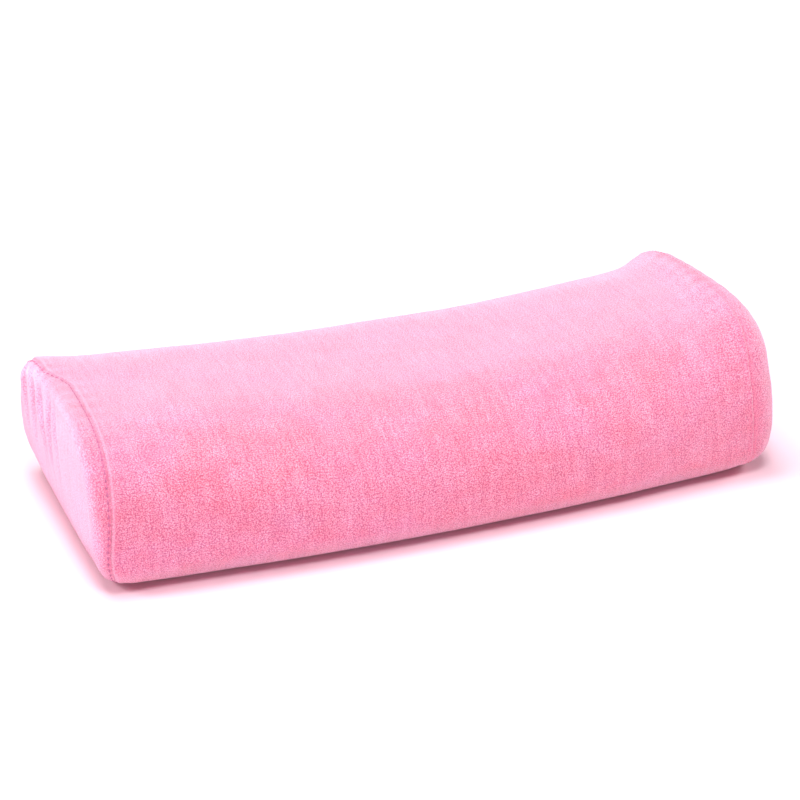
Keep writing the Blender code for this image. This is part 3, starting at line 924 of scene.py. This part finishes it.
def loop_height(made, flat):
    """Height of the pile from 0 to 1: clumped loops in uneven wales and courses, with fibres on top."""
    inputs = {"Vector": flat, "Scale": WANDER_SCALE, "Detail": 1.0}
    wander = made.node("ShaderNodeTexNoise", inputs).outputs["Color"]
    push = made.vector("SUBTRACT", {0: wander, 1: (0.5, 0.5, 0.5)})
    push = made.vector("SCALE", {0: push, "Scale": WALE_WANDER})
    drawn = made.vector("ADD", {0: flat, 1: push})
    grid = made.scaled(drawn, (1 / WALE, 1 / COURSE, 1.0))
    cell = made.node(
        "ShaderNodeTexVoronoi",
        {"Vector": grid, "Scale": 1.0, "Randomness": LOOP_SPREAD, "Smoothness": 0.2},
        feature="SMOOTH_F1",
        voronoi_dimensions="2D",
    ).outputs["Distance"]
    loop = made.ramp(cell, 0.60, 0.10)
    clump = made.ramp(made.noise(flat, CLUMP_SCALE, 2.0, 0.6), 0.36, 0.64)
    fibre = made.ramp(made.noise(flat, FIBRE_SCALE, 1.0, 0.6), 0.30, 0.70)
    streak = made.ramp(made.noise(made.scaled(flat, STREAK_STRETCH), STREAK_SCALE), 0.30, 0.70)
    height = made.times(loop, LOOP_SHARE, made.times(clump, CLUMP_SHARE))
    height = made.times(fibre, FIBRE_SHARE, height)
    return made.times(streak, STREAK_SHARE, height)


def loop_tones(made, height):
    """Colours from pit to tip, with painted shade in the pits and a painted highlight on the tips:
    plain, and a paler copy that is painted light.
    """
    low = made.ramp(height, *PIT_TO_LOOP)
    high = made.ramp(height, *LOOP_TO_TIP)
    plain_tones = made.blend(high, made.blend(low, PIT_SHADE_PINK, LOOP_PINK), TIP_HIGHLIGHT_PINK)
    painted_lit_tones = made.blend(high, made.blend(low, PAINTED_LIT_PIT, PAINTED_LIT_LOOP), PAINTED_LIT_TIP)
    return plain_tones, painted_lit_tones


def patched(made, tone, place):
    """The tone with cooler and warmer patches and a finer mottle."""
    place = made.scaled(place, PATCH_STRETCH)
    patch = made.ramp(made.noise(place, PATCH_SCALE, 3.0, 0.6), 0.35, 0.65)
    tone = made.blend(PATCH_SHARE, tone, made.blend(patch, COOL_PINK, WARM_PINK))
    mottle = made.ramp(made.noise(place, MOTTLE_SCALE, 3.0, 0.6), 0.30, 0.70)
    shade = made.times(mottle, MOTTLE_DEPTH, MOTTLE_DARKEST)
    grey = made.node("ShaderNodeCombineColor", {0: MOTTLE_RED, 1: shade, 2: shade}).outputs[0]
    return made.blend(1.0, tone, grey, "MULTIPLY")


def crown_painted_light(made):
    """How much painted light the cloth gets where it faces up or back."""
    facing = made.parts(made.facing())
    painted_light = made.math("POWER", made.ramp(facing[1], PAINTED_LIGHT_FRONT, PAINTED_LIGHT_REAR), PAINTED_LIGHT_CURVE)
    painted_light = made.times(painted_light, made.ramp(facing[2], PAINTED_LIGHT_BELOW, PAINTED_LIGHT_ABOVE))
    return made.times(painted_light, CROWN_PAINTED_LIGHT_SHARE)


def face_painted_light(made, place, face):
    """How much painted light an end face gets: less towards its rear edge, which is left in painted
    shade.
    """
    front = made.ramp(made.parts(place)[1], FACE_LIGHT_REAR, FACE_LIGHT_FRONT)
    share = made.times(front, 1 - FACE_LIGHT_LEAST, FACE_LIGHT_LEAST)
    return made.times(face, made.times(share, FACE_PAINTED_LIGHT_SHARE))


def towelling_material(name, panel):
    """Short cotton loops in wales, with painted shade in the pits between them, painted highlights on
    the tips and a sheen of fibre ends.
    """
    made = new_material(name)
    flat = made.uv("cloth")
    place = made.place()
    height = loop_height(made, flat)
    plain_tones, painted_lit_tones = loop_tones(made, height)
    # Painted light where the cloth faces up or back
    painted_light = crown_painted_light(made)
    depth = PILE_DEPTH
    if panel:
        # Painted light on the end faces, whose bump is also made flatter
        face = made.ramp(made.math("ABSOLUTE", made.parts(place)[0]), FACE_MASK_START, FACE_MASK_FULL)
        painted_light = made.math("MAXIMUM", painted_light, face_painted_light(made, place, face))
        depth = made.times(face, -FACE_SMOOTHING, depth)
    tone = made.blend(painted_light, patched(made, plain_tones, place), painted_lit_tones)
    # Random dark flecks in the colour of the painted pit shade, fewer under painted light
    speck = made.ramp(made.noise(flat, SPECK_SCALE, 1.0), *SPECK_SPAN)
    speck = made.times(speck, made.times(painted_light, -SPECK_LOST_IN_PAINTED_LIGHT, SPECK_MOST))
    tone = made.blend(speck, tone, PIT_SHADE_PINK)
    reach = made.parts(made.uv("seam"))[0]
    # Painted shade in the seam's valley
    tone = made.blend(near(made, reach, 0.0, SEAM_SHADE_REACH, SEAM_SHADE_SHARE), tone, SEAM_SHADE_PINK)
    left = made.ramp(made.parts(place)[0], 0.0, LEFT_SIDE)
    # Painted highlight on the rolled edge beside the left seam
    ridge = made.times(near(made, reach, RIDGE_PLACE, RIDGE_WIDTH, RIDGE_HIGHLIGHT_SHARE), left)
    tone = made.blend(ridge, tone, RIDGE_HIGHLIGHT_PINK)
    if panel:
        # Painted shade in the needle holes beside the left seam
        tone = made.blend(made.times(needle_hole_shade(made), left), tone, HOLE_SHADE_PINK)
    return made.finish(
        Base_Color=tone,
        Roughness=0.95,
        Normal=made.bump(height, PILE_BUMP, depth),
        Sheen_Weight=0.8,
        Sheen_Roughness=0.45,
        Sheen_Tint=(1.0, 0.88, 1.0),
        Specular_IOR_Level=0.1,
    )


def near(made, value, place, width, share):
    """A band around a place: share in its middle, fading to 0 at the width."""
    off = made.math("ABSOLUTE", made.math("SUBTRACT", value, place))
    return made.times(made.ramp(off, width, 0.0), share)


def needle_hole_shade(made):
    """How much painted shade of a needle hole is at each place: a row of them runs along each seam."""
    parts = made.parts(made.uv("seam"))
    turn = made.times(parts[1], 2 * math.pi / STITCH_PITCH)
    along = made.ramp(made.math("COSINE", turn), 0.15, 0.90)
    off = made.math("ABSOLUTE", made.math("SUBTRACT", parts[0], SEAM_STITCH_REACH))
    across = made.ramp(off, 0.0008, 0.0002)
    return made.times(made.times(along, across), HOLE_SHADE_SHARE)


def thread_material():
    """Twisted sewing thread; the one at the left seam is darkened with painted shade, deeper than the
    cloth.
    """
    made = new_material("sewing_thread")
    place = made.place()
    twist = made.noise(place, 3200.0, 1.0)
    left = made.ramp(made.parts(place)[0], 0.0, LEFT_SIDE)
    # The left seam's thread is darkened with painted shade
    tone = made.blend(left, LOOP_PINK, THREAD_SHADE_PINK)
    tone = made.blend(made.ramp(twist, 0.45, 1.2), tone, LOOP_PINK)
    normal = made.bump(twist, 0.0001, 0.6)
    return made.finish(Base_Color=tone, Roughness=0.75, Normal=normal, Sheen_Weight=0.1)


def foam_material():
    """Cream foam with fine open cells."""
    made = new_material("foam")
    place = made.place()
    cells = made.node("ShaderNodeTexVoronoi", {"Vector": place, "Scale": 1400.0}).outputs["Distance"]
    tone = made.blend(made.ramp(cells, 0.1, 0.7), FOAM_SHADE, FOAM_CREAM)
    return made.finish(Base_Color=tone, Roughness=0.9, Normal=made.bump(cells, 0.0005, 0.8))


def tape_material():
    """Herringbone tape: slanting ribs that turn at the middle of each narrow stripe."""
    made = new_material("zip_tape")
    place = made.place()
    parts = made.parts(place)
    slant = made.math("ADD", parts[0], made.math("PINGPONG", parts[1], RIB_STRIPE))
    ribs = made.math("SINE", made.times(slant, 2 * math.pi / RIB_PITCH))
    ribs = made.times(ribs, 0.3, 0.35)
    yarn = made.times(made.noise(place, 2400.0), 0.6, ribs)
    tone = made.blend(made.ramp(yarn, 0.2, 1.0), TAPE_DARK, TAPE_LIGHT)
    normal = made.bump(yarn, 0.0002, 0.8)
    return made.finish(Base_Color=tone, Roughness=0.8, Normal=normal, Sheen_Weight=0.15)


def nylon_material():
    """Pink nylon, slightly cloudy."""
    made = new_material("zip_nylon")
    place = made.place()
    cloud = made.noise(place, 300.0)
    tone = made.blend(cloud, NYLON_DARK, NYLON_LIGHT)
    rough = made.ramp(made.noise(place, 1800.0), -1.2, 2.0)
    return made.finish(Base_Color=tone, Roughness=rough, Normal=made.bump(cloud, 0.0001, 0.3))


def lacquer_material():
    """Pink lacquer on cast zinc, rubbed a little brighter where it is handled."""
    made = new_material("zip_metal")
    place = made.place()
    worn = made.ramp(made.noise(place, 500.0, 4.0, 0.7), 0.60, 0.72)
    tone = made.blend(worn, LACQUER_PINK, LACQUER_WORN)
    rough = made.ramp(made.noise(place, 900.0), -0.6, 2.4)
    grain = made.noise(place, 1500.0)
    return made.finish(
        Base_Color=tone,
        Roughness=rough,
        Metallic=0.5,
        Normal=made.bump(grain, 0.00006, 0.5),
        Coat_Weight=0.5,
        Coat_Roughness=0.15,
    )


def tube_mesh(name, paths, radius, material):
    """One object of closed tubes, each along its own list of points."""
    vertices = []
    faces = []
    for path in paths:
        path = np.array(path)
        ahead = np.gradient(path, axis=0)
        ahead /= np.linalg.norm(ahead, axis=1, keepdims=True)
        across = np.cross(ahead, [0.0, 0.0, 1.0])
        flat = np.linalg.norm(across, axis=1, keepdims=True) < 1e-6
        across = np.where(flat, [0.0, 1.0, 0.0], across)
        across /= np.linalg.norm(across, axis=1, keepdims=True)
        over = np.cross(across, ahead)
        start = len(vertices)
        for point, side_way, up_way in zip(path, across, over):
            for step in range(TUBE_SIDES):
                turn = 2 * math.pi * step / TUBE_SIDES
                vertices.append(point + radius * (math.cos(turn) * side_way + math.sin(turn) * up_way))
        for ring in range(len(path) - 1):
            low = start + ring * TUBE_SIDES
            high = low + TUBE_SIDES
            for step in range(TUBE_SIDES):
                after = (step + 1) % TUBE_SIDES
                faces.append([low + step, low + after, high + after, high + step])
        last = start + (len(path) - 1) * TUBE_SIDES
        faces.append([start + step for step in range(TUBE_SIDES)][::-1])
        faces.append([last + step for step in range(TUBE_SIDES)])
    data = bpy.data.meshes.new(name)
    data.from_pydata([tuple(v) for v in vertices], [], faces)
    return new_piece(name, data, material)


def stitch_paths(line, outward):
    """Stitches along a line of points: each rises from its hole, lies on the cloth and dives again."""
    run = run_along(line)
    count = int(run[-1] / STITCH_PITCH)
    paths = []
    for number in range(count):
        middle = (number + 0.5) * run[-1] / count
        share = np.linspace(-0.5, 0.5, STITCH_POINTS)
        at = middle + share * STITCH_LENGTH
        rise = THREAD * STITCH_RISE - STITCH_SINK * (2 * np.abs(share)) ** 4
        paths.append(read_along(at, run, line) + read_along(at, run, outward) * rise[:, None])
    return paths


def seam_line(skin, rested, side):
    """Points and outward directions along the row of stitches beside an end seam."""
    band = skin.end_part(side)
    reach = skin.reach[band][: BAND_STEPS + 1].T[:COVER_COLUMNS]

    def at_stitches(table):
        columns = table[band][: BAND_STEPS + 1].swapaxes(0, 1)
        return np.array([read_along(SEAM_STITCH_REACH, *pair) for pair in zip(reach, columns)])

    return at_stitches(rested), at_stitches(skin.normals)


def make_seam_threads(skin, rested, material):
    """The topstitching on the end panels, left out on the flat base."""
    made = []
    for name, side in (("seam_thread_left", -1), ("seam_thread_right", 1)):
        line, outward = seam_line(skin, rested, side)
        above = slice(BASE_STEPS, COVER_COLUMNS - BASE_STEPS)
        paths = stitch_paths(line[above], outward[above])
        made.append(tube_mesh(name, paths, THREAD, material))
    return made


def make_hem_threads(material):
    """The rows that hold the hems and the zip tapes, seen on the base."""
    made = []
    end = end_shape(1)[2][0] - HEM_STITCH_STOP
    places = np.linspace(-end, end, HEM_LINE_POINTS)
    outward = np.tile([0.0, 0.0, -1.0], (HEM_LINE_POINTS, 1))
    for name, side in (("hem_thread_front", -1), ("hem_thread_rear", 1)):
        line = rows_of(places, side * HEM_STITCH_Y, THREAD)
        made.append(tube_mesh(name, stitch_paths(line, outward), THREAD, material))
    return made


def make_coil(node, side, material):
    """One half of the zip chain: a flattened nylon helix in the space of its plain bar."""
    low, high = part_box(node)
    middle = [(a + b) / 2 for a, b in zip(low, high)]
    wide = (high[1] - low[1]) / 2 - COIL_WIRE
    tall = (high[2] - low[2]) / 2 - COIL_WIRE
    start, end = low[0] + COIL_WIRE, high[0] - COIL_WIRE
    turns = int((end - start) / COIL_PITCH)
    angle = np.linspace(0, 2 * math.pi * turns, turns * COIL_POINTS + 1)
    x = start + (end - start) * angle / angle[-1]
    y = middle[1] + side * wide * np.cos(angle)
    z = middle[2] + tall * np.sin(angle)
    name = node.replace("zip_coil", "coil")
    coil = tube_mesh(name, [rows_of(x, y, z)], COIL_WIRE, material)
    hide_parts(node)
    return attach(coil, "cushion")


def make_camera():
    """The photograph's view."""
    azimuth = math.radians(CAMERA_AZIMUTH)
    elevation = math.radians(CAMERA_ELEVATION)
    level = math.cos(elevation)
    back = Vector((math.sin(azimuth) * level, -math.cos(azimuth) * level, math.sin(elevation)))
    data = bpy.data.cameras.new("camera")
    data.sensor_width = SENSOR
    data.lens = FOCAL_PIXELS * SENSOR / IMAGE_SIZE
    data.shift_x = (IMAGE_SIZE / 2 - CENTRE_PIXEL[0]) / IMAGE_SIZE
    data.shift_y = (CENTRE_PIXEL[1] - IMAGE_SIZE / 2) / IMAGE_SIZE
    data.clip_start = NEAREST
    data.clip_end = FARTHEST
    camera = new_object("camera", data)
    turned = (-back).to_track_quat("-Z", "Y").to_matrix().to_4x4()
    roll = Matrix.Rotation(math.radians(CAMERA_ROLL), 4, "Z")
    camera.matrix_world = Matrix.Translation(CAMERA_TARGET + back * CAMERA_DISTANCE) @ turned @ roll
    bpy.context.scene.camera = camera


def make_lamps():
    """Round soft lamps, all aimed at the cushion."""
    for name, place, size, power in LAMPS:
        data = bpy.data.lights.new(name, "AREA")
        data.shape = "DISK"
        data.size = size
        data.energy = power
        lamp = new_object(name, data)
        lamp.location = place
        lamp.rotation_euler = (Vector(LAMP_TARGET) - Vector(place)).to_track_quat("-Z", "Y").to_euler()


def seen_rays(made):
    """1 for rays that show something to the camera, mirrored and refracted ones too, and 0 for light."""
    rays = made.node("ShaderNodeLightPath").outputs
    seen = made.math("MAXIMUM", rays["Is Camera Ray"], rays["Is Glossy Ray"])
    return made.math("MAXIMUM", seen, rays["Is Transmission Ray"])


def make_world():
    """A faint even light, in front of a background that is seen as plain white."""
    made = Nodes(bpy.data.worlds.new("world"))
    soft = made.tree.nodes["Background"]
    made.link(WHITE, soft.inputs["Color"])
    made.link(AMBIENT, soft.inputs["Strength"])
    white = made.node("ShaderNodeBackground", {"Color": WHITE, "Strength": 1.0})
    mix = made.node("ShaderNodeMixShader", {0: seen_rays(made), 1: soft.outputs[0], 2: white.outputs[0]})
    made.link(mix.outputs[0], made.tree.nodes["World Output"].inputs["Surface"])
    bpy.context.scene.world = made.owner


def make_floor():
    """A pale pink floor that keeps the cushion's shadow, pink there as painted bounce light, and looks
    white farther away.
    """
    half = FLOOR_HALF
    corners = [(-half, -half), (half, -half), (half, half), (-half, half)]
    data = bpy.data.meshes.new("floor")
    data.from_pydata([(x, y, -FLOOR_DROP) for x, y in corners], [], [(0, 1, 2, 3)])
    floor = new_object("floor", data)
    made = new_material("floor")
    away = made.node("ShaderNodeVectorMath", {0: made.place()}, operation="LENGTH").outputs["Value"]
    glow = made.times(seen_rays(made), made.ramp(away, FLOOR_GLOW_START, FLOOR_GLOW_FULL))
    # Pale pink: painted pink bounce light in the cushion's shadow
    made.finish(Base_Color=FLOOR_BOUNCE_PINK, Roughness=0.9, Specular_IOR_Level=0.0)
    data.materials.append(made.finish(Emission_Color=WHITE, Emission_Strength=glow))


def assign(node, material):
    """Give a solid that stays as it is its material."""
    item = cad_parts[node]
    item.data.materials.clear()
    item.data.materials.append(material)


def main():
    bpy.context.scene.view_settings.view_transform = "Standard"
    make_camera()
    make_lamps()
    make_world()
    make_floor()
    skin = Skin()
    rested = skin.rested()
    towelling = towelling_material("towelling", panel=False)
    panel_cloth = towelling_material("towelling_panel", panel=True)
    cover = make_cover(skin, rested, towelling)
    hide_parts("cover_wrap")
    left = make_end_panel("panel_left", -1, skin, rested, panel_cloth)
    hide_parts("end_panel_left")
    right = make_end_panel("panel_right", 1, skin, rested, panel_cloth)
    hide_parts("end_panel_right")
    for piece in (cover, left, right):
        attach(piece, "cushion")
    thread = thread_material()
    for piece in make_seam_threads(skin, rested, thread) + make_hem_threads(thread):
        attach(piece, "cushion")
    nylon = nylon_material()
    make_coil("zip_coil_front", -1, nylon)
    make_coil("zip_coil_rear", 1, nylon)
    assign("foam_core", foam_material())
    tape = tape_material()
    assign("zip_tape_front", tape)
    assign("zip_tape_rear", tape)
    lacquer = lacquer_material()
    for node in ("zip_top_stop_front", "zip_top_stop_rear", "zip_bottom_stop", "zip_slider", "zip_pull"):
        assign(node, lacquer)


main()
